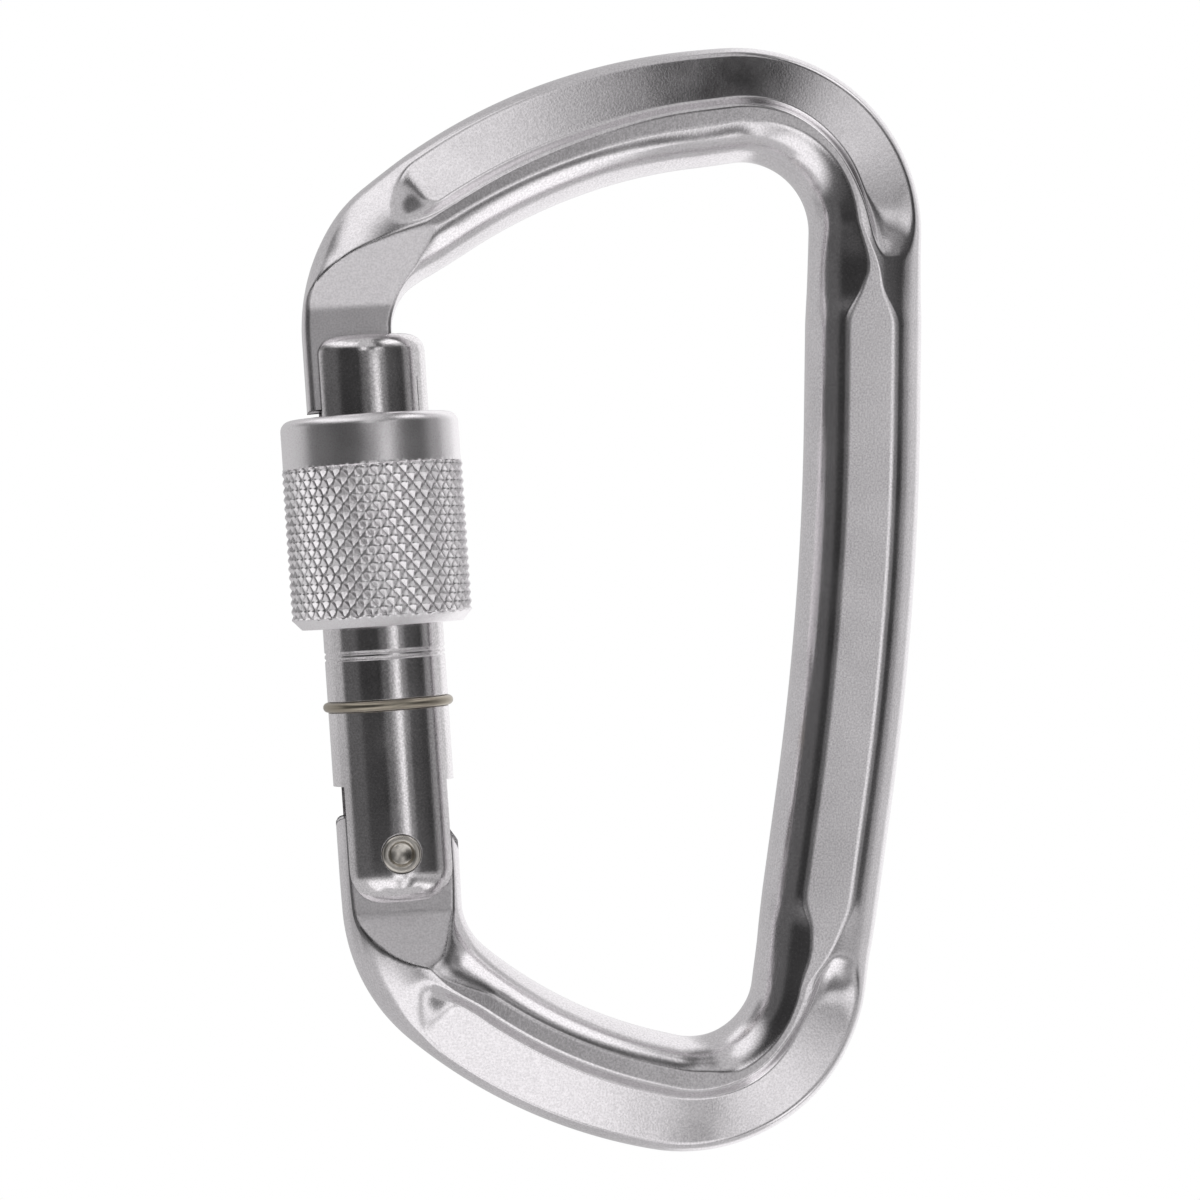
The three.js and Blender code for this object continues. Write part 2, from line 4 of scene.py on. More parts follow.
import bpy
import numpy as np
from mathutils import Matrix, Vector


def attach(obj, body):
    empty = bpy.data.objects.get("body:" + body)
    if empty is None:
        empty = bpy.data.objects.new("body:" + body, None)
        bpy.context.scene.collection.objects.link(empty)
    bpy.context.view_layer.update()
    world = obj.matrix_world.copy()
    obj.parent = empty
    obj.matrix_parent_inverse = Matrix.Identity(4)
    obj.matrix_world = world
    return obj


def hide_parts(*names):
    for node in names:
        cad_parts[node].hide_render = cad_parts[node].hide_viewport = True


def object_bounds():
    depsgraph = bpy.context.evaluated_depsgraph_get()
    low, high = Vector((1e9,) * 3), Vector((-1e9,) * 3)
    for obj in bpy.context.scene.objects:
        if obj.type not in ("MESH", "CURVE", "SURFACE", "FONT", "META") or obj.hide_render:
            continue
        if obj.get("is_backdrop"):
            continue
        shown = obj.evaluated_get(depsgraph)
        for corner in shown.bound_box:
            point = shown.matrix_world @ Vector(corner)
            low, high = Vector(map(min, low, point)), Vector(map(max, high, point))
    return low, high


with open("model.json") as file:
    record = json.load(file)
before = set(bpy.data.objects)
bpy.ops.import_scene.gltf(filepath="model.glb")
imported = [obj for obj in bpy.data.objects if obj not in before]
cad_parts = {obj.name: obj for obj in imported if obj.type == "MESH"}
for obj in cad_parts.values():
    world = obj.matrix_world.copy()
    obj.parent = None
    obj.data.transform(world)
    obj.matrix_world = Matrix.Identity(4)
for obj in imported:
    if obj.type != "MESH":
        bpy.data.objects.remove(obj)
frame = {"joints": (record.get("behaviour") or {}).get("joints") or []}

# A screw-gate locking carabiner in metres, dressed around its CAD frame. Shapes are worked out in
# millimetres, on the gate's own axis or along the bar, and become metres when they are made meshes.

MM = 0.001
cad_low, cad_high = (list(corner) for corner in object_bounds())


def joint(name):
    """The frame's joint of that name."""
    return next(j for j in frame["joints"] if j["name"] == name)


# ------------------------------------------------------------------ sizes, in millimetres

HINGE = np.array(joint("gate_hinge")["pos_m"]) / MM
GATE_AXIS = np.array(joint("sleeve_travel")["axis"])
ACROSS_GATE = np.array([GATE_AXIS[2], 0.0, -GATE_AXIS[0]])
THICKNESS = np.array([0.0, 1.0, 0.0])

# Bar: widths, bend points (x, z, radius) and half thicknesses.
ARM_WIDTH, CORNER_WIDTH, SPINE_WIDTH, FOOT_WIDTH = 11.9, 11.4, 12.0, 12.1
TOP_ARM, TOP_CORNER, SPINE_BEND = (-19.3, 3.47, 58), (13.7, 7.67, 13), (13, -46.03, 309)
LOW_CORNER, LOW_ARM = (5.7, -98.33, 12.7), (-20.4, -92.73, 50)
NOSE_BEND_UP, NOSE_BEND_RADIUS = 59.4, 12
HINGE_BEND_DOWN, HINGE_BEND_RADIUS = 11.1, 12.8
RIB_HALF, PANEL_HALF = 5.5, 5.2

# Recesses: depth, fall of the floor per millimetre, wall; how their ends curve and rise.
RECESS_DEPTH, RECESS_FALL, RECESS_WALL = 1.35, 0.125, 1.15
RECESS_MIDDLE, RECESS_END_CURVE, RECESS_SOFT_CURVE = 2.3, 0.07, 0.4
RECESS_CRISP_RISE, RECESS_SOFT_RISE, RECESS_EDGE = 3.4, 4.3, 0.5

# Milled flats at both ends of the bar: rounding of their edges, and how far from a bend they may reach.
EDGE_ROUND, FLAT_ROUND, FLATS_REACH = 0.14, 0.7, 20

# The bar's grid: stations along it, more of them near what changes fast, and the stretch of its ends;
# the share of its height where the outer side turns down, and the least floor before that.
STATIONS, DENSE_STATIONS, EXTRA_STATIONS, NOSE_STRETCH, TONGUE_STRETCH = 410, 4000, 1.2, 6, 8
TURN_DOWN, TURN_GAP = 0.85, 0.1

# Nose and hinge tongue.
NOSE_HALF, NOSE_INNER, NOSE_TIP, NOSE_SHOULDER = 3.4, 2.9, 45.15, 55.3
NOSE_RAMP, TONGUE_RAMP = math.radians(15.5), math.radians(26)
KEY_REACH, KEY_HEIGHT, KEY_HALF, KEY_FOOT_ROUND, KEY_TOP_ROUND = 1.7, 2.0, 3.1, 0.5, 0.25
TONGUE_HALF, TONGUE_TOP, TONGUE_SHOULDER, TONGUE_CORNER = 2.95, 3.75, 6.3, 0.8
CAM_RADIUS, CAM_SHOULDER, CAM_FALL = 1.8, 2.9, 3.2
GATE_OPEN = math.radians(40)

# Gate, with heights along its axis from the hinge.
GATE_RADIUS, GATE_TOP, GATE_FOOT, GATE_EDGE = 6.13, 52.4, 5.0, 1.8
GATE_FOOT_EDGE, GATE_FOOT_RISE = 2.7, 3.4
BORE_RADIUS, BORE_TOP, DRILL_CONE, FORK_TOP = 2.8, 27.0, 1.0, 7.0
MARK_HEIGHT, MARK_SPACING, MARK_DEPTH, MARK_WIDTH, MARK_REACH = 20.1, 0.6, 0.13, 0.34, 0.65
THREAD_FOOT, THREAD_TOP, THREAD_PITCH, THREAD_STARTS, THREAD_DEPTH = 23.6, 41.5, 1.25, 2, 0.28
THREAD_SLOPE, THREAD_FADE = 1.15, 1.2
MARK_STEP, THREAD_STEP, GATE_STEP, GATE_SIDES = 0.04, 0.11, 1.2, 144

# Sleeve, ring, rivet, plunger and spring.
SLEEVE_RADIUS, SLEEVE_LENGTH, SLEEVE_FOOT, SLEEVE_LIP = 9.2, 21.3, 23.0, 5.0
SLEEVE_FOOT_CHAMFER, SLEEVE_FOOT_ROUND, SLEEVE_RIM_ROUND, SLEEVE_LIP_SINK = 1.05, 0.15, 1.1, 0.14
CHAMFER_RINGS, LIP_RINGS = (0.3, 0.12), (0.16, 0.3, 0.45, 0.8)
THREAD_LAND_UP, THREAD_LAND, COUNTERBORE, NOSE_BORE, NOSE_BORE_EDGE = 6.0, 8.0, 0.45, 7.3, 0.3
KNURL_ROUND, KNURL_RISE, KNURL_DEPTH, KNURL_SECOND, KNURL_CREST = 38, 1.75, 0.45, 0.90, 0.08
KNURL_FADE, KNURL_EARLY, KNURL_STEP, KNURL_SIDES = 0.15, 0.05, 0.125, 12
WIRE_RADIUS, RING_HEIGHT, RING_GAP, RING_SEAT_GAP = 0.5, 15.0, math.radians(8), 0.06
RIVET_RADIUS, RIVET_FLARE, RIVET_FLARE_HEIGHT, RIVET_PROUD, SINK_GAP = 1.6, 1.95, 0.7, 0.1, 0.05
RIVET_DIMPLE, RIVET_DIMPLE_DEPTH, RIVET_ROLL, RIVET_LIP = 1.25, 1.1, 0.3, 0.18
DIMPLE_WALL = ((0.05, 0.45), (0.15, 0.9), (0.35, 1.05))
PLUNGER_RADIUS, PLUNGER_HEAD, PLUNGER_STEM, PLUNGER_STEM_LENGTH = 2.5, 2.4, 1.2, 5.0
PLUNGER_ROUND, PLUNGER_EDGE = 0.3, 0.15
SPRING_WIRE, SPRING_TURNS = 0.3, 10
RING_POINTS, COIL_POINTS, RING_SIDES, COIL_SIDES = 160, 28, 20, 12

# Gaps between pieces; how far a cutter runs past what it cuts; the angle where shading breaks, the sides of
# a circle, and how near the outer radius a point has to be to get its knurl, thread or lines.
GAP, RIVET_GAP, SLOT_FLOOR_GAP, KEY_ROOF_GAP = 0.3, 0.15, 1.05, 0.45
STOCK, CLEAR = 1.5, 12.0
SHARP, SIDES, SKIN = math.radians(38), 64, 0.01


# ------------------------------------------------------------------ meshes

def on_gate(across, y, up):
    """Points in the row frame, from offsets across the gate, through it and up its axis."""
    across, y, up = (np.asarray(v, float)[..., None] for v in np.broadcast_arrays(across, y, up))
    return HINGE + across * ACROSS_GATE + y * THICKNESS + up * GATE_AXIS


def piece(name, points, faces):
    """A mesh object from points in millimetres and a list of faces, with its normals outwards."""
    mesh = bpy.data.meshes.new(name)
    mesh.from_pydata((points * MM).tolist(), [], faces)
    mesh.validate()
    obj = bpy.data.objects.new(name, mesh)
    bpy.context.scene.collection.objects.link(obj)
    face_outwards(obj)
    shade(obj)
    return obj


def face_outwards(obj):
    """Turns a closed mesh the right way out: its signed volume has to be positive."""
    mesh = obj.data
    mesh.calc_loop_triangles()
    corners = np.empty(len(mesh.loop_triangles) * 3, np.int32)
    mesh.loop_triangles.foreach_get("vertices", corners)
    co = np.empty(len(mesh.vertices) * 3)
    mesh.vertices.foreach_get("co", co)
    a, b, c = co.reshape(-1, 3)[corners.reshape(-1, 3)].transpose(1, 0, 2)
    if np.einsum("ij,ij->i", a, np.cross(b, c)).sum() < 0:
        mesh.flip_normals()


def shade(obj):
    """Smooth shading, with the sharper edges kept sharp."""
    obj.data.shade_smooth()
    obj.data.set_sharp_from_angle(angle=SHARP)


def loop_faces(rows, around):
    """Quads of a grid that closes on itself around: rows x around points, row after row."""
    r, k = np.meshgrid(np.arange(rows - 1), np.arange(around), indexing="ij")
    n = (k + 1) % around
    return np.stack([r * around + k, r * around + n, (r + 1) * around + n, (r + 1) * around + k],
                    -1).reshape(-1, 4)


def ring_faces(rows, around):
    """Quads of a grid that closes on itself both ways, as a ring with a closed profile."""
    r, k = np.meshgrid(np.arange(rows), np.arange(around), indexing="ij")
    m, n = (r + 1) % rows, (k + 1) % around
    return np.stack([r * around + k, r * around + n, m * around + n, m * around + k], -1).reshape(-1, 4)


def capped(name, grid, ends):
    """A piece from rows x around points, closed by a fan of triangles about a point at each end."""
    rows, around = grid.shape[:2]
    first, last, top = rows * around, rows * around + 1, (rows - 1) * around
    k = np.arange(around)
    n = (k + 1) % around
    foot_fan = np.stack([np.full(around, first), n, k], -1)
    top_fan = np.stack([np.full(around, last), top + k, top + n], -1)
    faces = [*loop_faces(rows, around).tolist(), *foot_fan.tolist(), *top_fan.tolist()]
    return piece(name, np.vstack([grid.reshape(-1, 3), ends]), faces)


def circle(sides):
    """Angles of the points of a circle."""
    return np.arange(sides) * 2 * math.pi / sides


def turned(name, profile, around=SIDES, closed=False, relief=None):
    """
    A profile of (radius, height) turned about the gate's axis: across = r cos a, through = r sin a.
    An open profile starts and ends on the axis. relief(angle, height, radius) gives what is taken off.
    """
    profile = np.asarray(profile, float)
    angle = circle(around)
    radius, height = profile[:, :1], profile[:, 1:]
    if not closed:
        radius, height = radius[1:-1], height[1:-1]
    radius = np.broadcast_to(radius, (len(radius), around))
    if relief is not None:
        radius = radius - relief(angle[None, :], height, radius)
    grid = on_gate(radius * np.cos(angle), radius * np.sin(angle), np.broadcast_to(height, radius.shape))
    if closed:
        return piece(name, grid.reshape(-1, 3), ring_faces(len(radius), around).tolist())
    return capped(name, grid, on_gate([0, 0], [0, 0], [profile[0, 1], profile[-1, 1]]))


def fine(profile, step):
    """A profile with points added, so that none of its straight runs is longer than the step."""
    profile = np.asarray(profile, float)
    runs = [np.linspace(a, b, max(1, math.ceil(np.linalg.norm(b - a) / step)), endpoint=False)
            for a, b in zip(profile[:-1], profile[1:])]
    return np.vstack([*runs, profile[-1:]])


def corner(radius, height, r, start, stop, steps=8):
    """Points of an arc about (radius, height), from one angle to another in degrees."""
    angle = np.radians(np.linspace(start, stop, steps + 1))
    return np.stack([radius + r * np.cos(angle), height + r * np.sin(angle)], -1).tolist()


def prism(name, outline, low, high):
    """An outline of (across, up) points on the gate's axis, given thickness between two y values."""
    outline = np.asarray(outline, float)
    count = len(outline)
    points = np.vstack([on_gate(outline[:, 0], y, outline[:, 1]) for y in (low, high)])
    k = np.arange(count)
    n = (k + 1) % count
    sides = np.stack([k, n, n + count, k + count], -1).tolist()
    return piece(name, points, [*sides, k[::-1].tolist(), (k + count).tolist()])


def box(name, low, high):
    """A box between two (across, y, up) corners on the gate's axis."""
    (x0, y0, z0), (x1, y1, z1) = low, high
    return prism(name, [(x0, z0), (x1, z0), (x1, z1), (x0, z1)], y0, y1)


def pin(name, radius, low, high):
    """A round bar along y through the hinge, between two y values."""
    angle = circle(SIDES)
    return prism(name, np.stack([radius * np.cos(angle), radius * np.sin(angle)], -1), low, high)


def carve(obj, operation, *tools):
    """Joins closed tools to a piece or cuts them from it, and takes the tools away."""
    for tool in tools:
        change = obj.modifiers.new(tool.name, "BOOLEAN")
        change.operation, change.solver, change.object = operation, "EXACT", tool
    done = bpy.data.meshes.new_from_object(obj.evaluated_get(bpy.context.evaluated_depsgraph_get()))
    obj.modifiers.clear()
    obj.data = done
    for tool in tools:
        bpy.data.objects.remove(tool)
    shade(obj)
    return obj


def wire(name, path, radius, around):
    """A round section carried along a path, square to its direction, with rounded ends."""
    along = np.gradient(path, axis=0)
    along /= np.linalg.norm(along, axis=1, keepdims=True)
    side = np.cross(along, GATE_AXIS)
    side /= np.linalg.norm(side, axis=1, keepdims=True)
    up = np.cross(side, along)
    # Each ring: its place on the path, how far it is pushed along it, and its share of the radius.
    end = np.linspace(0, math.pi / 2, 6)[1:]
    start_rows = [(0, -math.cos(a), math.sin(a)) for a in end]
    stop_rows = [(-1, math.cos(a), math.sin(a)) for a in end[::-1]]
    body_rows = [(i, 0.0, 1.0) for i in range(1, len(path) - 1)]
    at, push, share = (np.array(v) for v in zip(*(start_rows + body_rows + stop_rows)))
    at = at.astype(int)
    angle = circle(around)
    centre = path[at] + along[at] * (push * radius)[:, None]
    spread = side[at][:, None] * np.cos(angle)[:, None] + up[at][:, None] * np.sin(angle)[:, None]
    tips = np.array([path[0] - along[0] * radius, path[-1] + along[-1] * radius])
    return capped(name, centre[:, None] + spread * (share * radius)[:, None, None], tips)


# ------------------------------------------------------------------ the bar

def axis_point(across, up, radius=0.0):
    """A bend point on the gate's axis, as (x, z, radius)."""
    x, _, z = on_gate(across, 0.0, up)
    return (x, z, radius)


NECK_WIDTH = GATE_RADIUS + NOSE_INNER
NECK_MIDDLE = (NOSE_INNER - GATE_RADIUS) / 2
BAR_START, BAR_END = NOSE_TIP - STOCK, TONGUE_TOP + STOCK
BENDS = [axis_point(NECK_MIDDLE, BAR_START), axis_point(NECK_MIDDLE, NOSE_BEND_UP, NOSE_BEND_RADIUS),
         TOP_ARM, TOP_CORNER, SPINE_BEND, LOW_CORNER, LOW_ARM,
         axis_point(0.0, -HINGE_BEND_DOWN, HINGE_BEND_RADIUS), axis_point(0.0, BAR_END)]


def bent_line(bends):
    """
    Straight runs joined by arcs. Each run is (start length, start point, direction angle, turn), where turn
    is 1 / radius, signed. Also gives the length at the middle of each arc, and the whole length. Where two
    arcs would overlap, both are made smaller until they just meet.
    """
    points = np.array([b[:2] for b in bends])
    sides = np.diff(points, axis=0)
    lengths = np.hypot(*sides.T)
    angles = np.arctan2(sides[:, 1], sides[:, 0])
    swings = (np.diff(angles) + math.pi) % (2 * math.pi) - math.pi
    spread = np.tan(np.abs(swings) / 2)
    wanted = np.concatenate([[0], [b[2] for b in bends[1:-1]] * spread, [0]])
    room = np.minimum(1, lengths / (wanted[:-1] + wanted[1:]))
    reaches = wanted[1:-1] * np.minimum(room[:-1], room[1:])
    runs, middles, length, here = [], [], 0.0, points[0]
    for i, (swing, reach) in enumerate(zip(swings, reaches)):
        radius = reach / spread[i]
        start = points[i + 1] - sides[i] / lengths[i] * reach
        runs.append((length, here, angles[i], 0.0))
        length += np.linalg.norm(start - here)
        runs.append((length, start, angles[i], math.copysign(1 / radius, swing)))
        arc = radius * abs(swing)
        middles.append(length + arc / 2)
        length += arc
        here = points[i + 1] + sides[i + 1] / lengths[i + 1] * reach
    runs.append((length, here, angles[-1], 0.0))
    return runs, middles, length + np.linalg.norm(points[-1] - here)


RUNS, MIDDLES, BAR_LENGTH = bent_line(BENDS)
AT_NOSE, _, AT_TOP, AT_SPINE, AT_LOW, _, AT_HINGE = MIDDLES


def along_bar(length, across):
    """
    x and z of points at a length along the bar and an offset across it. On an arc the direction turns by
    length x turn, and the point is the chord's integral: (sin b - sin a) / turn and (cos a - cos b) / turn.
    """
    x, z = np.zeros_like(length), np.zeros_like(length)
    starts = [run[0] for run in RUNS]
    which = np.clip(np.searchsorted(starts, length, side="right") - 1, 0, len(RUNS) - 1)
    for i, (start, point, angle, turn) in enumerate(RUNS):
        on = which == i
        s = length[on] - start
        heading = angle + s * turn
        if turn:
            dx, dz = (np.sin(heading) - math.sin(angle)) / turn, (math.cos(angle) - np.cos(heading)) / turn
        else:
            dx, dz = s * math.cos(angle), s * math.sin(angle)
        x[on] = point[0] + dx - np.sin(heading) * across[on]
        z[on] = point[1] + dz + np.cos(heading) * across[on]
    return x, z


def section(width, crest_in, crest_out, square=2.8, half=RIB_HALF, soft=0.2, sharp=0.3):
    """
    One section of the bar: its width, the crest's inner and outer edge, half its thickness, how steeply it
    starts to fall on its inner and outer side, and how square its outer side is (2 is an ellipse).
    """
    return (width, crest_in, crest_out, half, soft, sharp, square)


NECK = section(NECK_WIDTH, -3.6, 3.6, 6)
PANEL = section(SPINE_WIDTH, -2.9, 2.75, 2, PANEL_HALF, 0.42, 0.42)
TONGUE = section(2 * GATE_RADIUS, -1.5, 1.5, 2)
SECTIONS = [
    (0, NECK),
    (AT_NOSE - 5.3, NECK),
    (AT_NOSE - 2, section(9.4, -3.4, 2.3, 2.5)),
    (AT_NOSE + 0.8, section(9.9, -3.1, 0.6, 2)),
    (AT_NOSE + 4.2, section(10.8, -2.7, -0.9, 2)),
    (AT_NOSE + 8.3, section(11.4, -1.7, -1.2, 2.3)),
    (AT_NOSE + 11, section(11.6, -2.2, -1.2)),
    (AT_TOP - 28, section(ARM_WIDTH, -2.5, -1.15)),
    (AT_TOP - 15, section(ARM_WIDTH, -2.4, -0.75)),
    (AT_TOP - 7, section(11.5, -2.0, -0.7)),
    (AT_TOP + 1, section(CORNER_WIDTH, -1.6, -1.0)),
    (AT_TOP + 9.5, section(11.5, -1.6, -1.25)),
    (AT_TOP + 14.8, section(11.7, -0.4, 0.6, 2.2, 5.35, 0.3)),
    (AT_TOP + 17, section(11.8, -1.1, 1.1, 2.1, 5.25, 0.36)),
    (AT_TOP + 20.8, PANEL),
    (AT_SPINE, PANEL),
    (AT_LOW - 20, PANEL),
    (AT_LOW - 16.5, section(11.9, -1.5, 1.75, 2.1, 5.25, 0.36)),
    (AT_LOW - 14, section(11.7, -1.15, 0.75, 2.2, 5.35, 0.3)),
    (AT_LOW - 10.3, section(11.6, -1.7, -1.1)),
    (AT_LOW - 6.5, section(CORNER_WIDTH, -1.8, -1.3)),
    (AT_LOW + 1.5, section(CORNER_WIDTH, -1.8, -1.0)),
    (AT_LOW + 6.5, section(11.6, -2.8, -1.05)),
    (AT_LOW + 11.5, section(ARM_WIDTH, -3.0, -1.15)),
    (AT_HINGE - 9, section(FOOT_WIDTH, -2.7, -1.2)),
    (AT_HINGE - 5, section(FOOT_WIDTH, -1.5, -0.8, 2.4)),
    (AT_HINGE - 2, section(FOOT_WIDTH, -0.6, -0.5, 2.2)),
    (AT_HINGE + 2.5, section(FOOT_WIDTH, -0.4, 0.6, 2)),
    (AT_HINGE + 9, TONGUE),
    (BAR_LENGTH, TONGUE),
]
# Scooped recesses: each from its crisp end by the spine to its soft end by the gate.
RECESSES = [(AT_TOP + 13.8, AT_NOSE + 5.9), (AT_LOW - 14.2, AT_HINGE - 1.8)]


def section_at(length):
    """
    The section's seven sizes at each length, on a smooth curve through the listed ones that never
    overshoots: its slope at a section is the harmonic mean of the slopes on both sides, or 0 at a turn.
    """
    at = np.array([s[0] for s in SECTIONS], float)
    sizes = np.array([s[1] for s in SECTIONS], float)
    step = np.diff(at)[:, None]
    rise = np.diff(sizes, axis=0) / step
    before, after = rise[:-1], rise[1:]
    same = before * after > 0
    mean = np.where(same, 2 * before * after / np.where(same, before + after, 1), 0)
    slope = np.vstack([0 * rise[:1], mean, 0 * rise[:1]])
    i = np.clip(np.searchsorted(at, length) - 1, 0, len(at) - 2)
    t = np.clip((length - at[i]) / (at[i + 1] - at[i]), 0, 1)[..., None]
    return ((2 * t ** 3 - 3 * t ** 2 + 1) * sizes[i] + (t ** 3 - 2 * t ** 2 + t) * step[i] * slope[i]
            + (3 * t ** 2 - 2 * t ** 3) * sizes[i + 1] + (t ** 3 - t ** 2) * step[i] * slope[i + 1])


def ease(t):
    """Rises from 0 to 1, level at both ends: t squared times (3 - 2 t)."""
    t = np.clip(t, 0, 1)
    return t * t * (3 - 2 * t)


def lower_of(a, b, blend):
    """The smaller of two heights, with the edge between them rounded over the blend."""
    share = np.clip(0.5 + 0.5 * (b - a) / blend, 0, 1)
    return b + (a - b) * share - blend * share * (1 - share)


def half_thickness(length, across, up):
    """
    Half the bar's thickness, and where it is milled. Inner side: an ellipse from the crest. Outer side:
    (1 - q^n)^(1/n). The recess lowers it to a sloping floor behind a short wall, and its ends lie later by
    the fourth power of the distance from its middle. Flats and ramps cut the two ends of the bar, and
    their long edges are rounded by a quarter circle.
    """
    width, crest_in, crest_out, half, soft, sharp, square = np.moveaxis(section_at(length), -1, 0)
    outer = width / 2
    q = soft + (1 - soft) * np.clip((crest_in - across) / (crest_in + outer), 0, 1)
    inside = half * np.sqrt(np.clip(1 - q * q, 0, None) / (1 - soft * soft))
    q = sharp + (1 - sharp) * np.clip((across - crest_out) / (outer - crest_out), 0, 1)
    outside = half * (np.clip(1 - q ** square, 0, None) / (1 - sharp ** square)) ** (1 / square)
    body = np.where(across < crest_in, inside, np.where(across > crest_out, outside, half))
    floor = half - RECESS_DEPTH - RECESS_FALL * (across - crest_out)
    wall = ease((across - crest_out) / RECESS_WALL)
    late = RECESS_END_CURVE * (across - RECESS_MIDDLE) ** 4
    share = np.zeros_like(body)
    for crisp, soft_end in RECESSES:
        way = np.sign(crisp - soft_end)
        ramp = np.clip((way * (crisp - length) - late) / RECESS_CRISP_RISE, 0, 2)
        crisp_rise = np.clip(lower_of(ramp, 1.0, RECESS_EDGE), 0, 1)
        soft_rise = ease((way * (length - soft_end) - late * RECESS_SOFT_CURVE) / RECESS_SOFT_RISE)
        share = np.maximum(share, wall * crisp_rise * soft_rise)
    sunk = body - share * np.clip(body - floor, 0, None)
    neck = NOSE_HALF + np.clip(up - NOSE_SHOULDER, 0, None) * math.tan(NOSE_RAMP)
    tongue = TONGUE_HALF + np.clip(-TONGUE_SHOULDER - up, 0, None) * math.tan(TONGUE_RAMP)
    limit = np.where(length < BAR_LENGTH / 2, neck, tongue)
    side = np.clip(1 - (outer - np.abs(across)) / FLAT_ROUND, 0, 1)
    limit = limit - FLAT_ROUND * (1 - np.sqrt(1 - side ** 2))
    near_end = (length < AT_NOSE + FLATS_REACH) | (length > AT_HINGE - FLATS_REACH)
    return np.where(near_end, lower_of(sunk, limit, EDGE_ROUND), sunk), near_end & (limit < sunk)


def offsets_across(length):
    """Offsets across the bar, denser where it curves: inner side, crest, recess wall, floor, outer side."""
    sizes = np.moveaxis(section_at(length)[..., None], -2, 0)
    width, crest_in, crest_out, _, _, sharp, square = sizes
    outer = width / 2
    inner = crest_in - np.cos(np.linspace(0, math.pi / 2, 26, endpoint=False)) * (crest_in + outer)
    crest = crest_in + np.linspace(0, 1, 7, endpoint=False) * (crest_out - crest_in)
    wall_width = np.minimum(RECESS_WALL, (outer - crest_out) / 2)
    wall_end = crest_out + wall_width
    wall = crest_out + np.linspace(0, 1, 11, endpoint=False) * wall_width
    # The outer side turns down where its height is a share of the whole; the floor fills what is left.
    drop = np.linspace(TURN_DOWN, 0, 22)
    q = (1 - (1 - sharp ** square) * drop ** square) ** (1 / square)
    down = crest_out + (q - sharp) / (1 - sharp) * (outer - crest_out)
    turn = np.maximum(down[..., :1], wall_end + TURN_GAP)
    floor = wall_end + np.linspace(0, 1, 19, endpoint=False) * (turn - wall_end)
    return np.concatenate([inner, crest, wall, floor, np.maximum(down, turn)], -1)


def stations():
    """Lengths along the bar, closest where the nose, the hinge and the recess ends change fastest."""
    dense = np.linspace(0, BAR_LENGTH, DENSE_STATIONS)
    weight = np.ones_like(dense)
    for middle, reach in ((AT_NOSE + 4, 16), (AT_HINGE - 2, 16), (AT_TOP + 14, 9), (AT_LOW - 12, 9)):
        weight += EXTRA_STATIONS * np.exp(-((dense - middle) / reach) ** 2)
    total = np.concatenate([[0], np.cumsum((weight[1:] + weight[:-1]) / 2)])
    return np.interp(np.linspace(0, total[-1], STATIONS), total, dense)


def tongue_end(across):
    """
    How high the tongue reaches: a rounded outer corner, a flat, the cam, and its fall. The cam is the
    involute of its radius r: at a swing a, across = r cos a + h sin a and up = h cos a - r sin a, with the
    height h growing by r a. The fall is a curve that leaves it downwards.
    """
    turn = np.linspace(0, math.pi / 2, 9)
    round_x = -GATE_RADIUS + TONGUE_CORNER * (1 - np.cos(turn))
    round_z = TONGUE_TOP - TONGUE_CORNER * (1 - np.sin(turn))
    swing = np.linspace(0, GATE_OPEN, 25)
    lift = TONGUE_TOP + CAM_RADIUS * swing
    cam_x = CAM_RADIUS * np.cos(swing) + lift * np.sin(swing)
    cam_z = -CAM_RADIUS * np.sin(swing) + lift * np.cos(swing)
    t = np.linspace(0, 1, 12)[1:]
    fall_x = (1 - t) ** 2 * cam_x[-1] + (2 * t * (1 - t) + t * t) * GATE_RADIUS
    fall_z = ((1 - t) ** 2 * cam_z[-1] + 2 * t * (1 - t) * (cam_z[-1] - CAM_SHOULDER)
              + t * t * (cam_z[-1] - CAM_FALL))
    xs = np.concatenate([round_x, cam_x, fall_x])
    zs = np.concatenate([round_z, cam_z, fall_z])
    return np.interp(across, xs, zs)


def stretched(line, across):
    """
    The length of every grid point. Near both ends the stations are stretched column by column, so that the
    nose ends on its arc and the tongue on its cam.
    """
    nose_start = np.sqrt(NOSE_TIP ** 2 - (NECK_MIDDLE + across[0]) ** 2) - BAR_START
    tongue_stop = BAR_LENGTH - BAR_END + tongue_end(-across[-1])
    settle = np.clip(line / NOSE_STRETCH, 0, 1)[:, None]
    length = nose_start * (1 - settle) + line[:, None] * settle
    settle = np.clip((BAR_LENGTH - line) / TONGUE_STRETCH, 0, 1)[:, None]
    return tongue_stop * (1 - settle) + length * settle


def end_faces(first, columns, around):
    """Faces from front to back across an end of the bar, whose inner and outer edges both sides share."""
    front = first + np.arange(columns)
    back = first + np.concatenate([[0], around - np.arange(1, columns - 1), [columns - 1]])
    quads = np.stack([front[1:-2], back[1:-2], back[2:-1], front[2:-1]], -1)
    edges = np.array([[front[0], back[1], front[1]], [front[-2], back[-2], front[-1]]])
    return edges[:1].tolist() + quads.tolist() + edges[1:].tolist()


def make_key():
    """The key on the nose's inner side, which the gate's pocket takes."""
    foot, side = NOSE_TIP + GAP, NOSE_INNER + KEY_REACH
    top = foot + KEY_HEIGHT
    outline = [
        (0, foot),
        *corner(side - KEY_FOOT_ROUND, foot + KEY_FOOT_ROUND, KEY_FOOT_ROUND, -90, 0),
        *corner(side - KEY_TOP_ROUND, top - KEY_TOP_ROUND, KEY_TOP_ROUND, 0, 90, steps=4),
        (0, top),
    ]
    return prism("key", outline, -KEY_HALF, KEY_HALF)


